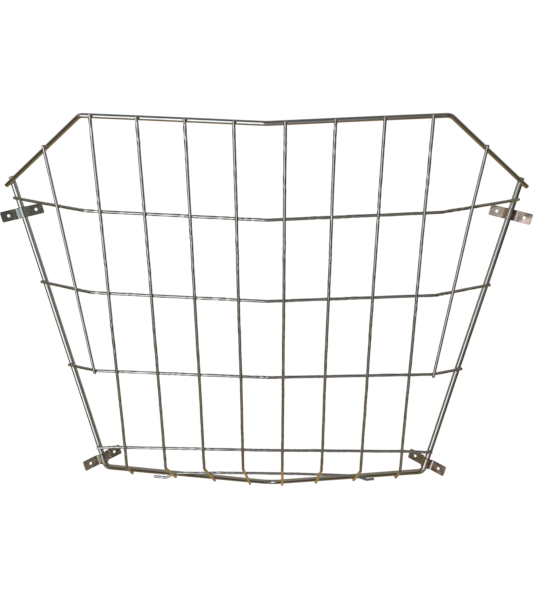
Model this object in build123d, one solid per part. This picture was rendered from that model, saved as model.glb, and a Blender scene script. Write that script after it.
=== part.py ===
from build123d import *
import math
import os

os.makedirs("parts", exist_ok=True)

# Corner wire basket. Millimetres; X is the width, -Y points out of the wall corner into
# the room, Z is up. Both walls are vertical planes through the Z axis at 45 degrees to Y.

# Stock
ROD_D = 8.0
RAIL_D = 6.0
WIRE_D = 4.2
SET_DOWN = 0.25

# Hoop: two side rods leaning out along the walls, joined by a V that runs back to the corner
CORNER_X = 242.0
CORNER_Z = 70.0
SIDE_TOP_X = 355.0
SIDE_TOP_Z = 485.0
ROD_NUB = 8.5
CORNER_BEND = 14.0
APEX_BEND = 24.0

# Prow line, where the front folds in the middle
PROW_X = 7.0

# Top rail, level at both ends of the front and a little lower at the prow
RAIL_MID_X = 3.1
RAIL_CORNER = Vector(227.7, -472.0, 538.6)
RAIL_PROW = Vector(PROW_X, -500.0, 518.3)
RAIL_TAIL = 7.5
RAIL_BEND = 14.0
PROW_BEND = 30.0

# Bar wires: evenly spaced, straight down the front, then bent back to form the floor
BAR_PITCH = 59.5
BAR_COUNT = 8
BAR_MID_X = -0.9
BEND_Y = -244.5
BEND_Z = 69.2
BAR_BEND = 9.0
FLOOR_REACH = 3.0

# Cross wires, as fractions of the way up the bars and along the side rods
CROSS_UP = (0.769, 0.549, 0.3165, 0.066)
CROSS_SIDE = (0.951, 0.672, 0.382, 0.077)
CROSS_FOLD_X = (231.9, 235.5, 241.5, 226.0)
CROSS_BEND = 11.0
CROSS_TIP = 1.5

# Floor wire, lying on the tails of the middle bars and dipping under the hoop at both ends
FLOOR_WIRE_Y = -166.0
FLOOR_WIRE_TIP = {-1: 20.5, 1: 12.0}
FLOOR_WIRE_RISE = 1.5
FLOOR_WIRE_BEND = 8.0
FLOOR_WIRE_LIFT = 0.25

# Short bars on the two side faces
SHORT_BAR_ON_RAIL = {-1: 80.0, 1: 76.5}
SHORT_BAR_SEAT = 0.3
SHORT_BAR_BOW = 300.0
SHORT_BAR_LAP = 3.0

# Wall clips: a strip pressed into a saddle over the side rod
CLIP_LENGTH = 61.0
CLIP_WIDTH = 15.0
CLIP_T = 1.5
CLIP_GAP = 0.3
CLIP_FOOT_X = 7.0
CLIP_SINK = 0.2
CLIP_HOLE_D = 4.5
CLIP_HOLE_PITCH = 40.0
CLIP_END_R = 2.0
CLIP_BEND = 3.4
CLIP_TURN = -7.0
CLIP_TOP_S = 401.0
CLIP_BOTTOM_S = 14.8


def unit(v):
    return v * (1.0 / v.length)


def outward(v):
    return v if v.Y < 0 else v * -1.0


def bent_path(points, radii):
    """Straight runs through the points, joined by tangent arcs."""
    edges = []
    start = points[0]
    for i in range(1, len(points) - 1):
        back = unit(points[i - 1] - points[i])
        ahead = unit(points[i + 1] - points[i])
        half = math.acos(max(-1.0, min(1.0, back.dot(ahead)))) / 2
        radius = radii[i - 1]
        reach = radius / math.tan(half)
        enter = points[i] + back * reach
        leave = points[i] + ahead * reach
        middle = points[i] + unit(back + ahead) * (radius / math.sin(half) - radius)
        edges.append(Line(start, enter))
        edges.append(ThreePointArc(enter, middle, leave))
        start = leave
    edges.append(Line(start, points[-1]))
    return Wire(edges)


def round_bar(points, radii, diameter):
    path = bent_path(points, radii)
    return sweep(Plane(origin=path @ 0, z_dir=path % 0) * Circle(diameter / 2), path=path)


def save(solid, name):
    solid.label = name
    export_step(solid, "parts/" + name + ".step")


def mix(a, b, t):
    return a + (b - a) * t


def side_point(side, t):
    """A point on the axis of the left (-1) or right (+1) side rod, t = 0 at its lower bend."""
    x = CORNER_X + (SIDE_TOP_X - CORNER_X) * t
    return Vector(side * x, -x, CORNER_Z + (SIDE_TOP_Z - CORNER_Z) * t)


def side_axis(side):
    return unit(side_point(side, 1) - side_point(side, 0))


def rail_corner(side):
    return Vector(RAIL_MID_X + side * RAIL_CORNER.X, RAIL_CORNER.Y, RAIL_CORNER.Z)


def rail_point(x):
    """A point on the rail's front run."""
    side = -1 if x < PROW_X else 1
    corner = rail_corner(side)
    return mix(RAIL_PROW, corner, (x - PROW_X) / (corner.X - PROW_X))


def bar_bend(x):
    return Vector(x, BEND_Y, BEND_Z)


def front_normal(x):
    """Outward normal of the half of the front that holds x."""
    side = -1 if x < PROW_X else 1
    along = rail_corner(side) - RAIL_PROW
    up = rail_point(x) - bar_bend(x)
    return outward(unit(along.cross(up)))


def bar_top(x):
    """Where a bar wire's axis passes the rail, on its outer face."""
    return rail_point(x) + front_normal(x) * ((RAIL_D + WIRE_D) / 2 - SET_DOWN)


def cross_front(x, up):
    """A point of a cross wire's front run, on the inner face of the bars."""
    inward = front_normal(x) * ((WIRE_D + WIRE_D) / 2 - SET_DOWN)
    return mix(bar_bend(x), bar_top(x), up) - inward


def over_side_rod(side, t, come_from, diameter):
    """Where a wire that comes from a point passes the outer face of a side rod."""
    on_axis = side_point(side, t)
    normal = outward(unit((on_axis - come_from).cross(side_axis(side))))
    return on_axis + normal * ((ROD_D + diameter) / 2 - SET_DOWN)


def lengthened(a, b, extra):
    return b + unit(b - a) * extra


# Hoop
def hoop():
    apex = Vector(PROW_X, 0, 0)
    ends = [side_point(s, 1) + side_axis(s) * ROD_NUB for s in (-1, 1)]
    corners = [side_point(s, 0) for s in (-1, 1)]
    points = [ends[0], corners[0], apex, corners[1], ends[1]]
    return round_bar(points, [CORNER_BEND, APEX_BEND, CORNER_BEND], ROD_D)


# Top rail
def rail_end(side):
    corner = rail_corner(side)
    crossing = over_side_rod(side, 1, corner, RAIL_D)
    return lengthened(corner, crossing, RAIL_TAIL)


def top_rail():
    left, right = [rail_corner(s) for s in (-1, 1)]
    points = [rail_end(-1), left, RAIL_PROW, right, rail_end(1)]
    return round_bar(points, [RAIL_BEND, PROW_BEND, RAIL_BEND], RAIL_D)


# Cross wires
def cross_corner(side, row):
    return cross_front(side * CROSS_FOLD_X[row], CROSS_UP[row])


def cross_end(side, row):
    corner = cross_corner(side, row)
    crossing = over_side_rod(side, CROSS_SIDE[row], corner, WIRE_D)
    return lengthened(corner, crossing, CROSS_TIP)


def cross_prow(row):
    return mix(cross_front(PROW_X - 0.01, CROSS_UP[row]), cross_front(PROW_X + 0.01, CROSS_UP[row]), 0.5)


def cross_wire(row):
    points = [cross_end(-1, row), cross_corner(-1, row), cross_prow(row)]
    points += [cross_corner(1, row), cross_end(1, row)]
    return round_bar(points, [CROSS_BEND, PROW_BEND, CROSS_BEND], WIRE_D)


# Bar wires
def hoop_floor_point(x):
    """A point on the axis of the hoop's V at a given x."""
    side = -1 if x < PROW_X else 1
    apex = Vector(PROW_X, 0, 0)
    corner = side_point(side, 0)
    return mix(apex, corner, (x - PROW_X) / (corner.X - PROW_X))


def bar_tail(x):
    """Where a bar's tail passes under the hoop."""
    side = -1 if x < PROW_X else 1
    leg = side_point(side, 0) - Vector(PROW_X, 0, 0)
    over = hoop_floor_point(x)
    tail = over
    for step in range(4):
        normal = unit(leg.cross(tail - bar_bend(x)))
        down = normal if normal.Z < 0 else normal * -1.0
        tail = over + down * ((ROD_D + WIRE_D) / 2 - SET_DOWN)
    return tail


def bar_wire(x):
    bend = bar_bend(x)
    top = lengthened(bend, bar_top(x), RAIL_D / 2)
    tail = lengthened(bend, bar_tail(x), FLOOR_REACH)
    return round_bar([top, bend, tail], [BAR_BEND], WIRE_D)


def bar_x(index):
    return BAR_MID_X + (index - (BAR_COUNT - 1) / 2) * BAR_PITCH


def crossing_on_run(start, run, a, b):
    """The point of a straight run that is nearest to the line from a to b."""
    line = unit(b - a)
    gap = a - start
    cosine = run.dot(line)
    return start + run * ((run.dot(gap) - cosine * line.dot(gap)) / (1 - cosine * cosine))


def short_bar(side):
    corner = rail_corner(side)
    rail_run = unit(over_side_rod(side, 1, corner, RAIL_D) - corner)
    on_rail = corner + rail_run * SHORT_BAR_ON_RAIL[side]
    fold = cross_corner(side, 2)
    outer = outward(unit(rail_run.cross(fold - on_rail)))
    head = on_rail + outer * ((RAIL_D + WIRE_D) / 2 - SET_DOWN)
    foot_normal = unit(outer + front_normal(fold.X))
    foot = fold + foot_normal * (WIRE_D - SET_DOWN - SHORT_BAR_SEAT)
    points = [lengthened(foot, head, RAIL_D / 2)]
    for row in (0, 1):
        start = cross_corner(side, row)
        run = unit(over_side_rod(side, CROSS_SIDE[row], start, WIRE_D) - start)
        seat = crossing_on_run(start, run, head, foot)
        normal = outward(unit(run.cross(foot - head)))
        points.append(seat + normal * (WIRE_D - SET_DOWN))
    points.append(lengthened(head, foot, SHORT_BAR_LAP))
    return round_bar(points, [SHORT_BAR_BOW, SHORT_BAR_BOW], WIRE_D)


# Floor wire
def floor_wire_dip(side, seat):
    """Where the floor wire, coming from its last seat, passes under the hoop."""
    apex = Vector(PROW_X, 0, 0)
    leg = side_point(side, 0)
    over = mix(apex, leg, seat.Y / leg.Y)
    dip = over - Vector(0, 0, ROD_D)
    for step in range(4):
        normal = unit((leg - apex).cross(dip - seat))
        drop = ((ROD_D + WIRE_D) / 2 - SET_DOWN) / abs(normal.Z)
        dip = over - Vector(0, 0, drop)
    return dip


def floor_wire():
    points = []
    for index in range(1, BAR_COUNT - 1):
        bend, tail = bar_bend(bar_x(index)), bar_tail(bar_x(index))
        seat = mix(bend, tail, (FLOOR_WIRE_Y - bend.Y) / (tail.Y - bend.Y))
        normal = unit(Vector(1, 0, 0).cross(bend - tail))
        lift = normal if normal.Z > 0 else normal * -1.0
        points.append(seat + lift * (WIRE_D - SET_DOWN))
    for end in (0, -1):
        points[end] += Vector(0, 0, FLOOR_WIRE_LIFT)
    for side in (-1, 1):
        seat = points[0] if side < 0 else points[-1]
        dip = floor_wire_dip(side, seat)
        tip = dip + Vector(side * FLOOR_WIRE_TIP[side], 0, FLOOR_WIRE_RISE)
        points = [tip, dip] + points if side < 0 else points + [dip, tip]
    return round_bar(points, [FLOOR_WIRE_BEND] * (len(points) - 2), WIRE_D)


# Wall clips
def clip_foot_y():
    return CLIP_SINK + CLIP_T / 2 - ROD_D / 2


def clip_strip():
    """The clip about the origin: rod along Z, wall on the -Y side."""
    foot_y = clip_foot_y()
    crown = ROD_D / 2 + CLIP_GAP + CLIP_T / 2
    reach = math.hypot(CLIP_FOOT_X, foot_y)
    tangent = math.atan2(foot_y, CLIP_FOOT_X) + math.acos(crown / reach)
    peak = Vector(0, crown / math.sin(tangent), 0)
    points = [Vector(-CLIP_LENGTH / 2, foot_y, 0), Vector(-CLIP_FOOT_X, foot_y, 0), peak]
    points += [Vector(CLIP_FOOT_X, foot_y, 0), Vector(CLIP_LENGTH / 2, foot_y, 0)]
    fold = CLIP_BEND + CLIP_T / 2
    path = bent_path(points, [fold, crown, fold])
    section = Plane(origin=path @ 0, z_dir=path % 0, x_dir=(0, 0, 1)) * Rectangle(CLIP_WIDTH, CLIP_T)
    strip = sweep(section, path=path)
    corners = strip.edges().filter_by(Axis.Y).sort_by(Axis.X)
    strip = fillet(corners[:2] + corners[-2:], CLIP_END_R)
    hole = Rot(90, 0, 0) * Cylinder(CLIP_HOLE_D / 2, CLIP_T * 4)
    for x in (-CLIP_HOLE_PITCH / 2, CLIP_HOLE_PITCH / 2):
        strip -= Pos(x, foot_y, 0) * hole
    return strip


def wall_clip(side, along):
    axis = side_axis(side)
    room = unit(Vector(-side, -1, 0))
    seat = Plane(origin=side_point(side, 0) + axis * along, x_dir=room.cross(axis), z_dir=axis)
    turn = -side * CLIP_TURN
    return seat.location * Rot(0, 0, turn) * clip_strip()


save(hoop(), "frame_hoop")
save(top_rail(), "top_rail")
for row in range(len(CROSS_UP)):
    save(cross_wire(row), "cross_wire_%d" % (row + 1))
save(floor_wire(), "cross_wire_%d" % (len(CROSS_UP) + 1))
save(short_bar(-1), "bar_wire_01")
for index in range(BAR_COUNT):
    save(bar_wire(bar_x(index)), "bar_wire_%02d" % (index + 2))
save(short_bar(1), "bar_wire_%02d" % (BAR_COUNT + 2))
for name, side in (("left", -1), ("right", 1)):
    save(wall_clip(side, CLIP_TOP_S), "clip_top_" + name)
    save(wall_clip(side, CLIP_BOTTOM_S), "clip_bottom_" + name)
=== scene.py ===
import math
import random

import bmesh
import bpy
import numpy as np
from mathutils import Matrix, Vector


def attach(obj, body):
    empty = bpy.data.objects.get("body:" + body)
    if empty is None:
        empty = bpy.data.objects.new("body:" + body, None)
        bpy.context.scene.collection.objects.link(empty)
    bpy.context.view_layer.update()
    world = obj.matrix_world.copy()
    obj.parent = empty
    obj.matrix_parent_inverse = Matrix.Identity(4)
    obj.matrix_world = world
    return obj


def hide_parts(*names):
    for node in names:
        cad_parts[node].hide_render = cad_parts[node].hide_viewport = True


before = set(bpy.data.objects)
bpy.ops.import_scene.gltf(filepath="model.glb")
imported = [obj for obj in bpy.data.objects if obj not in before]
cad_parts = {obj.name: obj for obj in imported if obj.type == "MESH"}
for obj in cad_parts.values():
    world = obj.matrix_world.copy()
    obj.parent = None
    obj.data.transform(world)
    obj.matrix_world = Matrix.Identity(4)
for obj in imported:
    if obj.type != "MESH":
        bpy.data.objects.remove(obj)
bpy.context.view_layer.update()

# Corner wire basket. The dimensions are millimetres, the Blender objects are metres. X is the
# width, -Y points out of the wall corner into the room, Z is up.
MM = 0.001

# Stock
ROD_D = 8.0
RAIL_D = 6.0
WIRE_D = 4.2
SET_DOWN = 0.25

# Hoop
CORNER_X = 242.0
CORNER_Z = 70.0
SIDE_TOP_X = 355.0
SIDE_TOP_Z = 485.0
ROD_NUB = 8.5
CORNER_BEND = 14.0
APEX_BEND = 24.0
PROW_X = 7.0

# Top rail
RAIL_MID_X = 3.1
RAIL_CORNER = Vector((227.7, -472.0, 538.6))
RAIL_PROW = Vector((PROW_X, -500.0, 518.3))
RAIL_TAIL = 7.5
RAIL_BEND = 14.0
PROW_BEND = 30.0

# Bar wires
BAR_PITCH = 59.5
BAR_COUNT = 8
BAR_MID_X = -0.9
BEND_Y = -244.5
BEND_Z = 69.2
BAR_BEND = 9.0
FLOOR_REACH = 3.0

# Cross wires
CROSS_UP = (0.769, 0.549, 0.3165, 0.066)
CROSS_SIDE = (0.951, 0.672, 0.382, 0.077)
CROSS_FOLD_X = (231.9, 235.5, 241.5, 226.0)
CROSS_BEND = 11.0
CROSS_TIP = 1.5

# Floor wire
FLOOR_WIRE_Y = -166.0
FLOOR_WIRE_TIP = {-1: 20.5, 1: 12.0}
FLOOR_WIRE_RISE = 1.5
FLOOR_WIRE_BEND = 8.0
FLOOR_WIRE_LIFT = 0.25

# Short bars
SHORT_BAR_ON_RAIL = {-1: 80.0, 1: 76.5}
SHORT_BAR_SEAT = 0.3
SHORT_BAR_BOW = 300.0
SHORT_BAR_LAP = 3.0

# Wall clips
CLIP_LENGTH = 61.0
CLIP_WIDTH = 15.0
CLIP_T = 1.5
CLIP_GAP = 0.3
CLIP_FOOT_X = 7.0
CLIP_SINK = 0.2
CLIP_HOLE_D = 4.5
CLIP_HOLE_PITCH = 40.0
CLIP_END_R = 2.0
CLIP_BEND = 3.4
CLIP_TURN = -7.0
CLIP_TOP_S = 401.0
CLIP_BOTTOM_S = 14.8

# How finely the wires are drawn
WIRE_STEP = 1.8
ROD_STEP = 2.4
WIRE_SIDES = 24
ROD_SIDES = 32

# The twist that the straightening rollers leave in the wire: TWIST_FLAT is how far it is out of
# round and TWIST_SWAY how far its axis spirals, both times the kind of wire's own share
TWIST_PITCH = 60.0
TWIST_LOBES = 4
TWIST_FLAT = 0.12
TWIST_SWAY = 0.12
CROSS_TWIST = 1.3
BAR_TWIST = 1.1
SHORT_BAR_TWIST = 0.35
WIRE_WANDER = 0.25

# Sheared wire ends
END_CHAMFER = 0.35
END_LEAN = (0.06, 0.16)

# Welds: how far the collars spread as a share of the thinner wire's radius, how much they are
# waisted, how deep they sink in, how far apart two welds of a pair of wires are at least, how near
# the wires have to come to be welded, and how far the heat stain reaches
WELD_SPREAD = 1.12
WELD_WAIST = 0.16
WELD_SINK = 0.12
WELD_APART = 12.0
WELD_GAP = 0.6
HEAT_REACH = 3.2

# The clip as drawn: its edge rounding, dents and cross bow, how finely its bent line is traced and
# its strip divided, and how the mesh closes in on a hole
CLIP_EDGE = 0.28
CLIP_DENT = 0.06
CLIP_BOW = 0.10
CLIP_TRACE = 0.1
CLIP_STEP = 0.5
CLIP_COLUMNS = 8
HOLE_RINGS = (0.0, 0.35, 0.62, 0.82, 0.94, 1.0)

random.seed(11)


# ---------------------------------------------------------------- route of each wire
def outward(v):
    return v if v.y < 0 else -v


def side_point(side, t):
    """A point on the axis of the left (-1) or right (+1) side rod, t = 0 at its lower bend."""
    x = CORNER_X + (SIDE_TOP_X - CORNER_X) * t
    return Vector((side * x, -x, CORNER_Z + (SIDE_TOP_Z - CORNER_Z) * t))


def side_axis(side):
    return (side_point(side, 1) - side_point(side, 0)).normalized()


def rail_corner(side):
    return Vector((RAIL_MID_X + side * RAIL_CORNER.x, RAIL_CORNER.y, RAIL_CORNER.z))


def rail_point(x):
    """A point on the rail's front run."""
    corner = rail_corner(-1 if x < PROW_X else 1)
    return RAIL_PROW.lerp(corner, (x - PROW_X) / (corner.x - PROW_X))


def bar_bend(x):
    return Vector((x, BEND_Y, BEND_Z))


def front_normal(x):
    """Outward normal of the half of the front that holds x."""
    along = rail_corner(-1 if x < PROW_X else 1) - RAIL_PROW
    return outward(along.cross(rail_point(x) - bar_bend(x)).normalized())


def bar_top(x):
    return rail_point(x) + front_normal(x) * ((RAIL_D + WIRE_D) / 2 - SET_DOWN)


def cross_front(x, up):
    """A point of a cross wire's front run, on the inner face of the bars."""
    inward = front_normal(x) * (WIRE_D - SET_DOWN)
    return bar_bend(x).lerp(bar_top(x), up) - inward


def over_side_rod(side, t, come_from, diameter):
    """Where a wire that comes from a point passes the outer face of a side rod."""
    on_axis = side_point(side, t)
    normal = outward((on_axis - come_from).cross(side_axis(side)).normalized())
    return on_axis + normal * ((ROD_D + diameter) / 2 - SET_DOWN)


def lengthened(a, b, extra):
    return b + (b - a).normalized() * extra


def hoop_route():
    apex = Vector((PROW_X, 0, 0))
    ends = [side_point(s, 1) + side_axis(s) * ROD_NUB for s in (-1, 1)]
    points = [ends[0], side_point(-1, 0), apex, side_point(1, 0), ends[1]]
    return points, [CORNER_BEND, APEX_BEND, CORNER_BEND]


def rail_end(side):
    corner = rail_corner(side)
    return lengthened(corner, over_side_rod(side, 1, corner, RAIL_D), RAIL_TAIL)


def rail_route():
    left, right = [rail_corner(s) for s in (-1, 1)]
    return [rail_end(-1), left, RAIL_PROW, right, rail_end(1)], [RAIL_BEND, PROW_BEND, RAIL_BEND]


def cross_corner(side, row):
    return cross_front(side * CROSS_FOLD_X[row], CROSS_UP[row])


def cross_end(side, row):
    corner = cross_corner(side, row)
    return lengthened(corner, over_side_rod(side, CROSS_SIDE[row], corner, WIRE_D), CROSS_TIP)


def cross_route(row):
    left, right = [cross_front(PROW_X + dx, CROSS_UP[row]) for dx in (-0.01, 0.01)]
    points = [cross_end(-1, row), cross_corner(-1, row), left.lerp(right, 0.5)]
    points += [cross_corner(1, row), cross_end(1, row)]
    return points, [CROSS_BEND, PROW_BEND, CROSS_BEND]


def bar_tail(x):
    """Where a bar's tail passes under the hoop."""
    side = -1 if x < PROW_X else 1
    apex = Vector((PROW_X, 0, 0))
    corner = side_point(side, 0)
    over = apex.lerp(corner, (x - PROW_X) / (corner.x - PROW_X))
    tail = over
    for step in range(4):
        normal = (corner - apex).cross(tail - bar_bend(x)).normalized()
        down = normal if normal.z < 0 else -normal
        tail = over + down * ((ROD_D + WIRE_D) / 2 - SET_DOWN)
    return tail


def bar_x(index):
    return BAR_MID_X + (index - (BAR_COUNT - 1) / 2) * BAR_PITCH


def bar_route(x):
    bend = bar_bend(x)
    top = lengthened(bend, bar_top(x), RAIL_D / 2)
    return [top, bend, lengthened(bend, bar_tail(x), FLOOR_REACH)], [BAR_BEND]


def crossing_on_run(start, run, a, b):
    """The point of a straight run that is nearest to the line from a to b."""
    line = (b - a).normalized()
    gap = a - start
    cosine = run.dot(line)
    return start + run * ((run.dot(gap) - cosine * line.dot(gap)) / (1 - cosine * cosine))


def short_bar_route(side):
    corner = rail_corner(side)
    rail_run = (over_side_rod(side, 1, corner, RAIL_D) - corner).normalized()
    on_rail = corner + rail_run * SHORT_BAR_ON_RAIL[side]
    fold = cross_corner(side, 2)
    outer = outward(rail_run.cross(fold - on_rail).normalized())
    head = on_rail + outer * ((RAIL_D + WIRE_D) / 2 - SET_DOWN)
    foot = fold + (outer + front_normal(fold.x)).normalized() * (WIRE_D - SET_DOWN - SHORT_BAR_SEAT)
    points = [lengthened(foot, head, RAIL_D / 2)]
    for row in (0, 1):
        start = cross_corner(side, row)
        run = (over_side_rod(side, CROSS_SIDE[row], start, WIRE_D) - start).normalized()
        seat = crossing_on_run(start, run, head, foot)
        normal = outward(run.cross(foot - head).normalized())
        points.append(seat + normal * (WIRE_D - SET_DOWN))
    points.append(lengthened(head, foot, SHORT_BAR_LAP))
    return points, [SHORT_BAR_BOW, SHORT_BAR_BOW]


def floor_wire_dip(side, seat):
    """Where the floor wire, coming from its last seat, passes under the hoop."""
    apex = Vector((PROW_X, 0, 0))
    leg = side_point(side, 0)
    over = apex.lerp(leg, seat.y / leg.y)
    dip = over - Vector((0, 0, ROD_D))
    for step in range(4):
        normal = (leg - apex).cross(dip - seat).normalized()
        drop = ((ROD_D + WIRE_D) / 2 - SET_DOWN) / abs(normal.z)
        dip = over - Vector((0, 0, drop))
    return dip


def floor_wire_route():
    points = []
    for index in range(1, BAR_COUNT - 1):
        bend, tail = bar_bend(bar_x(index)), bar_tail(bar_x(index))
        seat = bend.lerp(tail, (FLOOR_WIRE_Y - bend.y) / (tail.y - bend.y))
        normal = Vector((1, 0, 0)).cross(bend - tail).normalized()
        points.append(seat + (normal if normal.z > 0 else -normal) * (WIRE_D - SET_DOWN))
    for end in (0, -1):
        points[end].z += FLOOR_WIRE_LIFT
    for side in (-1, 1):
        dip = floor_wire_dip(side, points[0 if side < 0 else -1])
        tip = dip + Vector((side * FLOOR_WIRE_TIP[side], 0, FLOOR_WIRE_RISE))
        points = [tip, dip] + points if side < 0 else points + [dip, tip]
    return points, [FLOOR_WIRE_BEND] * (len(points) - 2)


# ---------------------------------------------------------------- drawing a wire
def walk(points, radii, step):
    """Evenly spaced places along straight runs joined by tangent arcs."""
    places = [points[0]]
    start = points[0]

    def run_to(end):
        count = max(1, round((end - start).length / step))
        places.extend(start.lerp(end, (k + 1) / count) for k in range(count))

    for i in range(1, len(points) - 1):
        back = (points[i - 1] - points[i]).normalized()
        ahead = (points[i + 1] - points[i]).normalized()
        half = math.acos(max(-1.0, min(1.0, back.dot(ahead)))) / 2
        reach = radii[i - 1] / math.tan(half)
        centre = points[i] + (back + ahead).normalized() * (radii[i - 1] / math.sin(half))
        enter = points[i] + back * reach
        run_to(enter)
        turn = math.pi - 2 * half
        count = max(3, round(turn * radii[i - 1] / step))
        axis = (enter - centre).cross(points[i] + ahead * reach - centre).normalized()
        for k in range(1, count + 1):
            places.append(centre + Matrix.Rotation(turn * k / count, 3, axis) @ (enter - centre))
        start = places[-1]
    run_to(points[-1])
    return np.array(places)


def frames(places):
    """Tangent and two cross directions at each place, turning as little as they can."""
    tangents = np.gradient(places, axis=0)
    tangents /= np.linalg.norm(tangents, axis=1)[:, None]
    first = np.cross(tangents[0], (0.0, 0.0, 1.0))
    if np.linalg.norm(first) < 0.1:
        first = np.cross(tangents[0], (1.0, 0.0, 0.0))
    across = [first / np.linalg.norm(first)]
    for t in tangents[1:]:
        a = across[-1] - t * across[-1].dot(t)
        across.append(a / np.linalg.norm(a))
    across = np.array(across)
    return tangents, across, np.cross(tangents, across)


def drift(s, lengths):
    """A slow wander between about -1 and 1 along a wire."""
    total = np.zeros_like(s)
    for length in lengths:
        total += np.sin(2 * math.pi * (s / length + random.random()))
    return total / len(lengths)


def mesh_piece(name, verts, faces, stock, heat, material):
    mesh = bpy.data.meshes.new(name)
    mesh.from_pydata([tuple(v * MM) for v in verts], [], faces)
    place = mesh.attributes.new("stock", "FLOAT_VECTOR", "POINT")
    place.data.foreach_set("vector", np.asarray(stock, np.float32).ravel())
    warmth = mesh.attributes.new("weld_heat", "FLOAT", "POINT")
    warmth.data.foreach_set("value", np.asarray(heat, np.float32))
    mesh.shade_smooth()
    mesh.materials.append(material)
    piece = bpy.data.objects.new(name, mesh)
    bpy.context.scene.collection.objects.link(piece)
    return piece


def weld_heat(verts, welds):
    """How near each vertex is to a weld, from 1 at the weld to 0 a few millimetres away."""
    heat = np.zeros(len(verts))
    for weld in welds:
        gap = np.linalg.norm(verts - weld, axis=1)
        heat = np.maximum(heat, np.exp(-((gap / HEAT_REACH) ** 2)))
    return heat


def closed_tube(verts, sides):
    """Faces for rings of vertices in a row: quads between the rings, and a fan round a middle vertex
    at either end."""
    verts = list(verts)
    faces = []
    last = len(verts) - sides
    for ring in range(0, last, sides):
        for k in range(sides):
            n = (k + 1) % sides
            faces.append((ring + k, ring + n, ring + sides + n, ring + sides + k))
    for ring in (0, last):
        middle = len(verts)
        verts.append(np.mean(verts[ring:ring + sides], axis=0))
        for k in range(sides):
            a, b = ring + k, ring + (k + 1) % sides
            faces.append((a, b, middle) if ring else (b, a, middle))
    return verts, faces


def round_wire(name, places, diameter, sides, twist, welds, material):
    """A swept wire: twisted slightly out of round, with sheared and chamfered ends."""
    tangents, across, over = frames(places)
    steps = np.linalg.norm(np.diff(places, axis=0), axis=1)
    s = np.concatenate([[0.0], np.cumsum(steps)])
    offset = random.uniform(0, 500)
    # The twist comes and goes along the wire
    strength = twist * np.clip(0.62 + 0.95 * drift(s, (97.0, 161.0, 43.0)), 0.05, 1.25)
    phase = 2 * math.pi * s / TWIST_PITCH + 1.3 * drift(s, (71.0, 118.0)) + offset
    sway = strength * TWIST_SWAY
    places = places + across * (sway * np.cos(phase))[:, None]
    places = places + over * (sway * np.sin(phase))[:, None]
    places = places + across * (WIRE_WANDER * drift(s, (240.0, 310.0)))[:, None]
    angles = np.arange(sides) * 2 * math.pi / sides
    turned = angles[None, :] - (phase if twist else np.zeros_like(phase))[:, None]
    radius = diameter / 2 + TWIST_FLAT * strength[:, None] * np.cos(TWIST_LOBES * turned)
    rows = [places[i] + across[i] * (radius[i] * np.cos(angles))[:, None]
            + over[i] * (radius[i] * np.sin(angles))[:, None] for i in range(len(places))]
    for end in (0, -1):
        lean = random.uniform(*END_LEAN)
        tilt = lean * (radius[end] * np.cos(angles + random.uniform(0, 6)))[:, None]
        outwards = tangents[end] * (1 if end else -1)
        spoke = rows[end] - places[end]
        rim = places[end] + spoke + outwards * tilt
        shrunk = places[end] + spoke * (1 - 2 * END_CHAMFER / diameter) + outwards * tilt
        rows[end] = rim - outwards * END_CHAMFER
        if end:
            rows.append(shrunk)
        else:
            rows.insert(0, shrunk)
    verts = [v for row in rows for v in row]
    stations = np.concatenate([[s[0]], s, [s[-1]]])
    turned = np.concatenate([turned[:1], turned, turned[-1:]])
    stock = [(math.cos(a) * diameter / 2, math.sin(a) * diameter / 2, z + offset)
             for z, around in zip(stations, turned) for a in around]
    stock += [(0.0, 0.0, stations[end] + offset) for end in (0, -1)]
    verts, faces = closed_tube(verts, sides)
    verts = np.array(verts)
    return mesh_piece(name, verts, faces, stock, weld_heat(verts, welds), material)


# ---------------------------------------------------------------- welds
def touching(a, b, reach):
    """Where two wires touch: (place, normal, direction of a, direction of b) for each contact."""
    gaps = np.linalg.norm(a[:, None, :] - b[None, :, :], axis=2)
    near = np.argwhere(gaps < reach)
    found = []
    used = []
    for i, j in sorted(near.tolist(), key=lambda ij: gaps[ij[0], ij[1]]):
        if any(np.linalg.norm(a[i] - u) < WELD_APART for u in used):
            continue
        used.append(a[i])
        ta = a[min(i + 1, len(a) - 1)] - a[max(i - 1, 0)]
        tb = b[min(j + 1, len(b) - 1)] - b[max(j - 1, 0)]
        ta /= np.linalg.norm(ta)
        tb /= np.linalg.norm(tb)
        normal = np.cross(ta, tb)
        if np.linalg.norm(normal) < 0.05:
            continue
        normal /= np.linalg.norm(normal)
        if normal.dot(b[j] - a[i]) < 0:
            normal = -normal
        gap = b[j] - a[i]
        flat = np.linalg.lstsq(np.array([ta, -tb]).T, gap - normal * gap.dot(normal), rcond=None)[0]
        found.append((a[i] + ta * flat[0], b[j] + tb * flat[1], normal, ta, tb))
    return found


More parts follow.
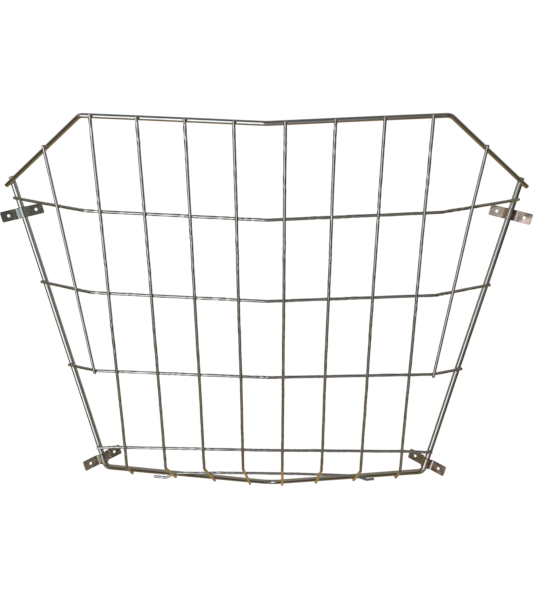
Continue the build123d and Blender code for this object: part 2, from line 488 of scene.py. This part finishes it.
def weld_collar(contact, da, db):
    """The metal squeezed out round a cross-wire weld: a small waisted collar between both wires."""
    on_a, on_b, normal, ta, tb = contact
    ra, rb = da / 2, db / 2
    side_a = np.cross(normal, ta)
    sides, levels = 20, 5
    verts = []
    spread = WELD_SPREAD * min(ra, rb)
    wobble = [random.uniform(0, 6) for k in range(3)]
    for level in range(levels):
        t = level / (levels - 1)
        for k in range(sides):
            angle = 2 * math.pi * k / sides
            lump = 1 + 0.07 * math.sin(3 * angle + wobble[0])
            lump += 0.05 * math.sin(5 * angle + wobble[1] + 2 * t)
            reach = spread * lump * (1 - WELD_WAIST * math.sin(math.pi * t))
            flat = (ta * math.cos(angle) + side_a * math.sin(angle)) * reach
            off_a = flat.dot(side_a)
            off_b = flat.dot(np.cross(normal, tb))
            low = on_a + normal * (math.sqrt(max(ra * ra - off_a * off_a, 0)) - WELD_SINK)
            high = on_b - normal * (math.sqrt(max(rb * rb - off_b * off_b, 0)) - WELD_SINK)
            middle = (on_a + on_b) / 2
            low_h, high_h = (low - middle).dot(normal), (high - middle).dot(normal)
            verts.append(middle + flat + normal * (low_h + (high_h - low_h) * t))
    return closed_tube(verts, sides)


def weld_piece(name, collars, material):
    verts, faces = [], []
    for collar_verts, collar_faces in collars:
        shift = len(verts)
        verts += collar_verts
        faces += [tuple(i + shift for i in face) for face in collar_faces]
    verts = np.array(verts)
    return mesh_piece(name, verts, faces, verts, np.ones(len(verts)), material)


# ---------------------------------------------------------------- clips
def clip_places():
    """The clip's bent line across the rod, in its own plane, at a fine even step."""
    foot_y = CLIP_SINK + CLIP_T / 2 - ROD_D / 2
    crown = ROD_D / 2 + CLIP_GAP + CLIP_T / 2
    tangent = math.atan2(foot_y, CLIP_FOOT_X) + math.acos(crown / math.hypot(CLIP_FOOT_X, foot_y))
    points = [(-CLIP_LENGTH / 2, foot_y), (-CLIP_FOOT_X, foot_y), (0, crown / math.sin(tangent))]
    points += [(CLIP_FOOT_X, foot_y), (CLIP_LENGTH / 2, foot_y)]
    fold = CLIP_BEND + CLIP_T / 2
    return walk([Vector((x, y, 0)) for x, y in points], [fold, crown, fold], CLIP_TRACE)


def half_width(s, length):
    """Half of the strip's width at a distance along it, narrower at its rounded ends."""
    from_end = min(s, length - s)
    if from_end >= CLIP_END_R:
        return CLIP_WIDTH / 2
    rise = CLIP_END_R - from_end
    return CLIP_WIDTH / 2 - CLIP_END_R + math.sqrt(max(CLIP_END_R ** 2 - rise ** 2, 0))


def flat_strip(length):
    """The strip rolled out flat: quads of (along, across) places, with a ring of them at each hole."""
    half = CLIP_WIDTH / 2
    hole_s = (CLIP_LENGTH - CLIP_HOLE_PITCH) / 2
    quads = []

    def band(stations):
        for s0, s1 in zip(stations[:-1], stations[1:]):
            w0, w1 = half_width(s0, length), half_width(s1, length)
            for k in range(CLIP_COLUMNS):
                a, b = -1 + 2 * k / CLIP_COLUMNS, -1 + 2 * (k + 1) / CLIP_COLUMNS
                quads.append([(s0, w0 * a), (s1, w1 * a), (s1, w1 * b), (s0, w0 * b)])

    def hole_block(centre):
        corners = [(-half, -half), (-half, half), (half, half), (half, -half)]
        rim = []
        for (x0, y0), (x1, y1) in zip(corners, corners[1:] + corners[:1]):
            for k in range(CLIP_COLUMNS):
                rim.append((x0 + (x1 - x0) * k / CLIP_COLUMNS, y0 + (y1 - y0) * k / CLIP_COLUMNS))
        circle = []
        for x, y in rim:
            angle = math.atan2(y, x)
            circle.append((CLIP_HOLE_D / 2 * math.cos(angle), CLIP_HOLE_D / 2 * math.sin(angle)))
        for t0, t1 in zip(HOLE_RINGS[:-1], HOLE_RINGS[1:]):
            for k in range(len(rim)):
                n = (k + 1) % len(rim)
                corner = []
                for t, i in ((t0, k), (t0, n), (t1, n), (t1, k)):
                    x = rim[i][0] + (circle[i][0] - rim[i][0]) * t
                    y = rim[i][1] + (circle[i][1] - rim[i][1]) * t
                    corner.append((centre + x, y))
                quads.append(corner)

    end = [0.0, 0.08, 0.3, 0.7, 1.2, CLIP_END_R, hole_s - half]
    band(end)
    hole_block(hole_s)
    inner = length - 2 * (hole_s + half)
    count = round(inner / CLIP_STEP)
    band([hole_s + half + inner * k / count for k in range(count + 1)])
    hole_block(length - hole_s)
    band([length - s for s in reversed(end)])
    return quads


def wall_clip(name, side, along, material):
    """A pressed strip over the side rod, with two punched feet."""
    places = clip_places()
    steps = np.linalg.norm(np.diff(places, axis=0), axis=1)
    reach = np.concatenate([[0.0], np.cumsum(steps)])
    length = reach[-1]
    tangents = np.gradient(places, axis=0)
    tangents /= np.linalg.norm(tangents, axis=1)[:, None]
    axis = side_axis(side)
    room = Vector((-side, -1, 0)).normalized()
    x_dir = room.cross(axis).normalized()
    basis = Matrix((x_dir, axis.cross(x_dir), axis)).transposed()
    origin = side_point(side, 0) + axis * along
    turn = Matrix.Rotation(math.radians(-side * CLIP_TURN), 3, "Z")
    found, verts, faces, stock = {}, [], [], []
    phases = [random.uniform(0, 6) for k in range(4)]
    for quad in flat_strip(length):
        face = []
        for s, v in quad:
            key = (round(s, 4), round(v, 4))
            if key not in found:
                x = np.interp(s, reach, places[:, 0])
                y = np.interp(s, reach, places[:, 1])
                tx = np.interp(s, reach, tangents[:, 0])
                ty = np.interp(s, reach, tangents[:, 1])
                dent = CLIP_DENT * math.sin(0.31 * s + phases[0]) * math.sin(0.42 * v + phases[1])
                bow = CLIP_BOW * (v / CLIP_WIDTH * 2) ** 2 * math.sin(0.11 * s + phases[2])
                lift = dent - bow
                local = Vector((x - ty * lift, y + tx * lift, v))
                found[key] = len(verts)
                verts.append(np.array(origin + basis @ (turn @ local)))
                stock.append((s, v, 0.0))
            face.append(found[key])
        faces.append(tuple(face))
    verts = np.array(verts)
    piece = mesh_piece(name, verts, faces, stock, np.zeros(len(verts)), material)
    bm = bmesh.new()
    bm.from_mesh(piece.data)
    bmesh.ops.recalc_face_normals(bm, faces=bm.faces)
    bm.to_mesh(piece.data)
    bm.free()
    thick = piece.modifiers.new("sheet", "SOLIDIFY")
    thick.thickness = CLIP_T * MM
    thick.offset = 0.0
    thick.use_even_offset = True
    edge = piece.modifiers.new("sheared_edge", "BEVEL")
    edge.width = CLIP_EDGE * MM
    edge.segments = 3
    edge.limit_method = "ANGLE"
    edge.angle_limit = math.radians(50)
    edge.harden_normals = True
    return piece


# ---------------------------------------------------------------- materials
class Nodes:
    """A node tree, with short calls for the nodes used here."""

    def __init__(self, tree):
        self.tree = tree

    def node(self, kind, **settings):
        made = self.tree.nodes.new(kind)
        for key, value in settings.items():
            setattr(made, key, value)
        return made

    def link(self, source, target):
        self.tree.links.new(source, target)

    def feed(self, target, value):
        if isinstance(value, bpy.types.NodeSocket):
            self.link(value, target)
        else:
            target.default_value = value

    def math(self, operation, a, b=0.0):
        made = self.node("ShaderNodeMath", operation=operation)
        self.feed(made.inputs[0], a)
        self.feed(made.inputs[1], b)
        return made.outputs[0]

    def attribute(self, name):
        return self.node("ShaderNodeAttribute", attribute_name=name)

    def scaled(self, vector, scale):
        made = self.node("ShaderNodeMapping")
        self.link(vector, made.inputs["Vector"])
        made.inputs["Scale"].default_value = scale
        return made.outputs[0]

    def noise(self, vector, scale, detail=3.0, rough=0.5, distort=0.0):
        made = self.node("ShaderNodeTexNoise")
        self.link(vector, made.inputs["Vector"])
        made.inputs["Scale"].default_value = scale
        made.inputs["Detail"].default_value = detail
        made.inputs["Roughness"].default_value = rough
        made.inputs["Distortion"].default_value = distort
        return made.outputs["Fac"]

    def ramp(self, value, stops):
        made = self.node("ShaderNodeValToRGB")
        self.link(value, made.inputs[0])
        marks = made.color_ramp.elements
        while len(marks) < len(stops):
            marks.new(0.5)
        for mark, (place, colour) in zip(marks, stops):
            mark.position = place
            mark.color = (*colour, 1.0)
        return made.outputs[0]

    def remap(self, value, low, high, to_low, to_high, smooth=False):
        kind = "SMOOTHSTEP" if smooth else "LINEAR"
        made = self.node("ShaderNodeMapRange", interpolation_type=kind)
        self.feed(made.inputs["Value"], value)
        made.inputs["From Min"].default_value = low
        made.inputs["From Max"].default_value = high
        made.inputs["To Min"].default_value = to_low
        made.inputs["To Max"].default_value = to_high
        return made.outputs["Result"]

    def mix(self, share, a, b):
        made = self.node("ShaderNodeMix", data_type="RGBA", blend_type="MIX")
        self.feed(made.inputs[0], share)
        for socket, colour in ((made.inputs[6], a), (made.inputs[7], b)):
            fixed = not isinstance(colour, bpy.types.NodeSocket)
            self.feed(socket, (*colour, 1.0) if fixed else colour)
        return made.outputs[2]

    def bump(self, height, distance, normal=None):
        made = self.node("ShaderNodeBump")
        made.inputs["Distance"].default_value = distance
        made.inputs["Strength"].default_value = 1.0
        self.link(height, made.inputs["Height"])
        if normal is not None:
            self.link(normal, made.inputs["Normal"])
        return made.outputs[0]


class Shader(Nodes):
    """A new material, whose settings are named with underscores for the spaces."""

    def __init__(self, name):
        self.material = bpy.data.materials.new(name)
        self.material.use_nodes = True
        super().__init__(self.material.node_tree)
        self.out = self.tree.nodes["Principled BSDF"]

    def set(self, **values):
        for key, value in values.items():
            self.feed(self.out.inputs[key.replace("_", " ")], value)


def zinc(name, light, dark, smooth, rough, twisted):
    """Bright zinc plate over drawn steel: drawing lines, cloudy spangle, dull brown at the welds."""
    m = Shader(name)
    stock = m.attribute("stock").outputs["Vector"]
    heat = m.attribute("weld_heat").outputs["Fac"]
    lines = m.noise(m.scaled(stock, (2.6, 2.6, 0.035)), 1.0, 4.0, 0.6)
    cloud = m.noise(m.scaled(stock, (0.35, 0.35, 0.09)), 1.0, 3.0, 0.55)
    fine = m.noise(stock, 2.2, 2.0, 0.6)
    tone = m.math("ADD", m.math("MULTIPLY", lines, 0.4), m.math("MULTIPLY", cloud, 0.6))
    if twisted:
        parts = m.node("ShaderNodeSeparateXYZ")
        m.link(stock, parts.inputs[0])
        around = m.math("MULTIPLY", m.math("ARCTAN2", parts.outputs[1], parts.outputs[0]), TWIST_LOBES)
        tone = m.math("ADD", tone, m.math("MULTIPLY", m.math("COSINE", around), 0.09))
    colour = m.mix(m.remap(tone, 0.30, 0.70, 0.0, 1.0), dark, light)
    stain = m.remap(m.math("ADD", heat, m.math("MULTIPLY", fine, 0.25)), 0.45, 1.1, 0.0, 0.6)
    colour = m.mix(stain, colour, (0.20, 0.165, 0.12))
    roughness = m.math("ADD", m.remap(tone, 0.30, 0.70, rough, smooth), m.math("MULTIPLY", stain, 0.18))
    relief = m.bump(lines, (0.003 if twisted else 0.005) * MM)
    relief = m.bump(fine, (0.0015 if twisted else 0.003) * MM, relief)
    m.set(Base_Color=colour, Roughness=roughness, Metallic=1.0, Normal=relief)
    return m.material


def weld_metal():
    """Squeezed-out weld metal under zinc: duller than the wire and a little burnt."""
    m = Shader("weld_flash_zinc")
    stock = m.attribute("stock").outputs["Vector"]
    grain = m.noise(stock, 1.6, 4.0, 0.6)
    colour = m.mix(m.remap(grain, 0.35, 0.7, 0.0, 1.0), (0.26, 0.23, 0.19), (0.56, 0.54, 0.50))
    m.set(Base_Color=colour, Roughness=m.remap(grain, 0.3, 0.7, 0.42, 0.26), Metallic=1.0)
    m.set(Normal=m.bump(grain, 0.05 * MM))
    return m.material


def yellow_passivate():
    """Yellow-passivated zinc: a thin film that drifts from blue-green grey over gold to pink and lilac,
    with brown drying lines and a red-brown sheared rim. Painted reflection: the film colour is shifted
    greener on the upper and left clips and pinker on the lower and right ones, by where each clip hangs."""
    m = Shader("yellow_passivated_zinc")
    place = m.node("ShaderNodeTexCoord").outputs["Object"]
    stock = m.attribute("stock").outputs["Vector"]
    parts = m.node("ShaderNodeSeparateXYZ")
    m.link(stock, parts.inputs[0])
    at = m.node("ShaderNodeSeparateXYZ")
    m.link(place, at.inputs[0])
    film = m.noise(place, 60.0, 2.0, 0.5, 0.8)
    streak = m.noise(m.scaled(stock, (0.12, 0.9, 1.0)), 1.0, 3.0, 0.6)
    fine = m.noise(place, 900.0, 3.0, 0.65)
    mottle = m.noise(stock, 0.55, 3.0, 0.6, 0.6)
    film_and_painted_reflection = m.math("ADD", m.math("MULTIPLY", film, 0.7), m.math("MULTIPLY", streak, 0.3))
    # Painted reflection: these two terms shift the film colour by the clip's place, pinker on the right
    # and lower clips and greener on the left and upper ones
    film_and_painted_reflection = m.math("ADD", film_and_painted_reflection, m.math("MULTIPLY", at.outputs[0], 0.19))
    film_and_painted_reflection = m.math("ADD", film_and_painted_reflection, m.remap(at.outputs[2], 0.05, 0.46, 0.045, -0.01))
    stops = [(0.38, (0.44, 0.50, 0.50)), (0.44, (0.50, 0.54, 0.44)), (0.50, (0.66, 0.58, 0.42)),
             (0.55, (0.80, 0.64, 0.54)), (0.61, (0.86, 0.70, 0.68)), (0.68, (0.78, 0.72, 0.74)),
             (0.76, (0.68, 0.72, 0.62))]
    colour = m.ramp(film_and_painted_reflection, stops)
    colour = m.mix(m.remap(mottle, 0.56, 0.70, 0.0, 0.45, True), colour, (0.42, 0.24, 0.15))
    colour = m.mix(m.remap(fine, 0.55, 0.80, 0.0, 0.4), colour, (0.20, 0.16, 0.12))
    from_middle = m.math("ABSOLUTE", parts.outputs[1])
    edge = m.remap(from_middle, CLIP_WIDTH / 2 - 0.9, CLIP_WIDTH / 2, 0.0, 0.75, True)
    colour = m.mix(edge, colour, (0.14, 0.06, 0.03))
    roughness = m.remap(m.math("ADD", film, m.math("MULTIPLY", fine, 0.5)), 0.5, 1.0, 0.10, 0.24)
    relief = m.bump(fine, 0.018 * MM)
    m.set(Base_Color=colour, Roughness=roughness, Metallic=1.0, Normal=relief)
    return m.material


def pale_floor():
    m = Shader("pale_floor")
    place = m.node("ShaderNodeTexCoord").outputs["Object"]
    cloud = m.noise(place, 1.5, 2.0)
    m.set(Base_Color=m.mix(cloud, (0.965, 0.965, 0.965), (0.98, 0.98, 0.98)), Roughness=0.8)
    m.set(Specular_IOR_Level=0.0)
    return m.material


# ---------------------------------------------------------------- build
def twist_of(node_name):
    """The cross wires are twisted the most, the two short bars hardly at all."""
    if node_name.startswith("cross"):
        return CROSS_TWIST
    return SHORT_BAR_TWIST if node_name in ("bar_wire_01", "bar_wire_10") else BAR_TWIST


rod_zinc = zinc("bright_zinc_rod", (0.88, 0.89, 0.90), (0.68, 0.69, 0.68), 0.05, 0.13, False)
wire_zinc = zinc("bright_zinc_wire", (0.78, 0.79, 0.80), (0.58, 0.58, 0.58), 0.14, 0.25, True)
weld_zinc = weld_metal()
clip_zinc = yellow_passivate()

routes = {"frame_hoop": (hoop_route(), ROD_D), "top_rail": (rail_route(), RAIL_D)}
for row in range(len(CROSS_UP)):
    routes["cross_wire_%d" % (row + 1)] = (cross_route(row), WIRE_D)
routes["cross_wire_%d" % (len(CROSS_UP) + 1)] = (floor_wire_route(), WIRE_D)
routes["bar_wire_01"] = (short_bar_route(-1), WIRE_D)
for index in range(BAR_COUNT):
    routes["bar_wire_%02d" % (index + 2)] = (bar_route(bar_x(index)), WIRE_D)
routes["bar_wire_%02d" % (BAR_COUNT + 2)] = (short_bar_route(1), WIRE_D)

lines = {}
for node_name, ((points, radii), diameter) in routes.items():
    lines[node_name] = walk(points, radii, WIRE_STEP if diameter == WIRE_D else ROD_STEP)

welds = {node_name: [] for node_name in lines}
collars = {"welds_hoop": [], "welds_top_rail": [], "welds_bars": []}
names = list(lines)
for i, first in enumerate(names):
    for second in names[i + 1:]:
        reach = (routes[first][1] + routes[second][1]) / 2 + WELD_GAP
        for contact in touching(lines[first], lines[second], reach):
            middle = (contact[0] + contact[1]) / 2
            welds[first].append(middle)
            welds[second].append(middle)
            group = {"frame_hoop": "welds_hoop", "top_rail": "welds_top_rail"}.get(first, "welds_bars")
            collars[group].append(weld_collar(contact, routes[first][1], routes[second][1]))

for node_name, places in lines.items():
    diameter = routes[node_name][1]
    wire = diameter == WIRE_D
    piece = round_wire(node_name + "_drawn", places, diameter, WIRE_SIDES if wire else ROD_SIDES,
                       twist_of(node_name) if wire else 0.0, welds[node_name],
                       wire_zinc if wire else rod_zinc)
    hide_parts(node_name)
    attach(piece, "frame")

for group, made in collars.items():
    piece = weld_piece(group, made, weld_zinc)
    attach(piece, "frame")

for side_name, side in (("left", -1), ("right", 1)):
    for level, along in (("top", CLIP_TOP_S), ("bottom", CLIP_BOTTOM_S)):
        node_name = "clip_%s_%s" % (level, side_name)
        piece = wall_clip(node_name + "_pressed", side, along, clip_zinc)
        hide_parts(node_name)
        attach(piece, node_name)


# ---------------------------------------------------------------- camera, floor and light
# Camera: its place in millimetres, its turn in radians (to the left, up, and to the side), and its
# focal length and sensor width in millimetres
CAMERA_PLACE = Vector((29.7, -1234.3, 255.0))
CAMERA_TURN = (0.0277, 0.0758, -0.0096)
CAMERA_LENS = 38.44
CAMERA_SENSOR = 36.0


def camera():
    yaw, pitch, roll = CAMERA_TURN
    turn = Matrix.Rotation(yaw, 3, "Z") @ Matrix.Rotation(pitch, 3, "X") @ Matrix.Rotation(roll, 3, "Y")
    right, forward, up = [turn.col[k].copy() for k in range(3)]
    data = bpy.data.cameras.new("camera")
    data.lens = CAMERA_LENS
    data.sensor_width = CAMERA_SENSOR
    made = bpy.data.objects.new("camera", data)
    made.matrix_world = Matrix.Translation(CAMERA_PLACE * MM) @ (
        Matrix((right, up, -forward)).transposed().to_4x4())
    bpy.context.scene.collection.objects.link(made)
    bpy.context.scene.camera = made


def floor(height, size):
    mesh = bpy.data.meshes.new("floor")
    s = size / 2
    corners = [(-s, -s, height), (s, -s, height), (s, s, height), (-s, s, height)]
    mesh.from_pydata(corners, [], [(0, 1, 2, 3)])
    mesh.materials.append(pale_floor())
    made = bpy.data.objects.new("floor", mesh)
    bpy.context.scene.collection.objects.link(made)
    made.visible_glossy = False


def soft_panel(name, place, target, size, radiance, colour):
    """A soft light panel of a given brightness, seen in reflections but not by the camera."""
    data = bpy.data.lights.new(name, "AREA")
    data.shape = "RECTANGLE"
    data.size, data.size_y = size
    data.energy = radiance * math.pi * size[0] * size[1]
    data.color = colour
    made = bpy.data.objects.new(name, data)
    made.location = place
    made.rotation_euler = (Vector(target) - Vector(place)).to_track_quat("-Z", "Y").to_euler()
    made.visible_camera = False
    bpy.context.scene.collection.objects.link(made)


def dark_flag(name, across, y, up):
    """A matt black board beside the light, seen only in reflections."""
    mesh = bpy.data.meshes.new(name)
    (x0, x1), (z0, z1) = across, up
    mesh.from_pydata([(x0, y, z0), (x1, y, z0), (x1, y, z1), (x0, y, z1)], [], [(0, 1, 2, 3)])
    board = Shader("flag_black")
    board.set(Base_Color=(0.02, 0.02, 0.02, 1.0), Roughness=1.0)
    mesh.materials.append(board.material)
    made = bpy.data.objects.new(name, mesh)
    bpy.context.scene.collection.objects.link(made)
    made.visible_camera = False
    made.visible_diffuse = False


# Room brightness by height, from straight down to straight up, in front, to the sides and behind
ROOM_FRONT = [(0.00, (0.16, 0.155, 0.145)), (0.06, (0.25, 0.25, 0.245)), (0.14, (0.26, 0.26, 0.26)),
              (0.35, (0.22, 0.22, 0.22)), (0.52, (0.15, 0.155, 0.155)), (0.70, (0.06, 0.065, 0.06)),
              (0.90, (0.08, 0.08, 0.068)), (1.00, (0.20, 0.20, 0.18))]
ROOM_SIDE = [(0.00, (0.15, 0.13, 0.09)), (0.08, (0.16, 0.12, 0.06)), (0.165, (0.08, 0.064, 0.036)),
             (0.29, (0.036, 0.033, 0.020)), (0.42, (0.050, 0.046, 0.031)), (0.50, (0.12, 0.117, 0.10)),
             (0.58, (0.19, 0.182, 0.155)), (0.66, (0.27, 0.258, 0.225)), (0.78, (0.20, 0.185, 0.15)),
             (1.00, (0.20, 0.19, 0.16))]
ROOM_BACK = [(0.00, (0.17, 0.145, 0.105)), (0.12, (0.24, 0.16, 0.07)), (0.32, (0.44, 0.27, 0.075)),
             (0.50, (0.34, 0.24, 0.12)), (0.75, (0.25, 0.20, 0.13)), (1.00, (0.20, 0.19, 0.16))]


def studio():
    """A dim neutral room that is warm and low behind, as over a wooden floor. Whatever isn't shiny
    is lit by an even white."""
    world = bpy.data.worlds.new("studio")
    bpy.context.scene.world = world
    world.use_nodes = True
    w = Nodes(world.node_tree)
    ground = w.tree.nodes["Background"]
    parts = w.node("ShaderNodeSeparateXYZ")
    w.link(w.node("ShaderNodeTexCoord").outputs["Generated"], parts.inputs[0])
    x, y, z = parts.outputs
    height = w.remap(z, -1.0, 1.0, 0.0, 1.0)
    in_front = w.remap(y, -0.60, -0.10, 1.0, 0.0, True)
    level = w.math("SQRT", w.math("ADD", w.math("MULTIPLY", x, x), w.math("MULTIPLY", y, y)))
    beside = w.remap(w.math("DIVIDE", w.math("ABSOLUTE", x), level), 0.80, 0.985, 0.0, 1.0, True)
    room = w.mix(in_front, w.ramp(height, ROOM_BACK), w.ramp(height, ROOM_FRONT))
    room = w.mix(beside, room, w.ramp(height, ROOM_SIDE))
    shiny = w.node("ShaderNodeLightPath").outputs["Is Glossy Ray"]
    w.link(w.mix(shiny, (1.04, 1.04, 1.04), room), ground.inputs["Color"])
    ground.inputs["Strength"].default_value = 1.0


camera()
floor(-1.45, 30.0)
studio()
soft_panel("panel", (-0.77, -1.36, -0.17), (-0.77, 0.0, -0.17), (1.15, 1.55), 1.02, (0.97, 1.0, 1.03))
soft_panel("card_right", (1.64, -1.34, -0.50), (1.64, 0.0, -0.50), (0.30, 0.25), 0.55, (1.0, 0.93, 0.88))
soft_panel("card_left", (-1.33, -1.36, 0.70), (-1.33, 0.0, 0.70), (0.22, 0.14), 0.95, (1.0, 0.98, 0.97))
dark_flag("flag", (0.80, 2.30), -1.36, (-1.44, 0.55))

view = bpy.context.scene.view_settings
view.view_transform = "Standard"
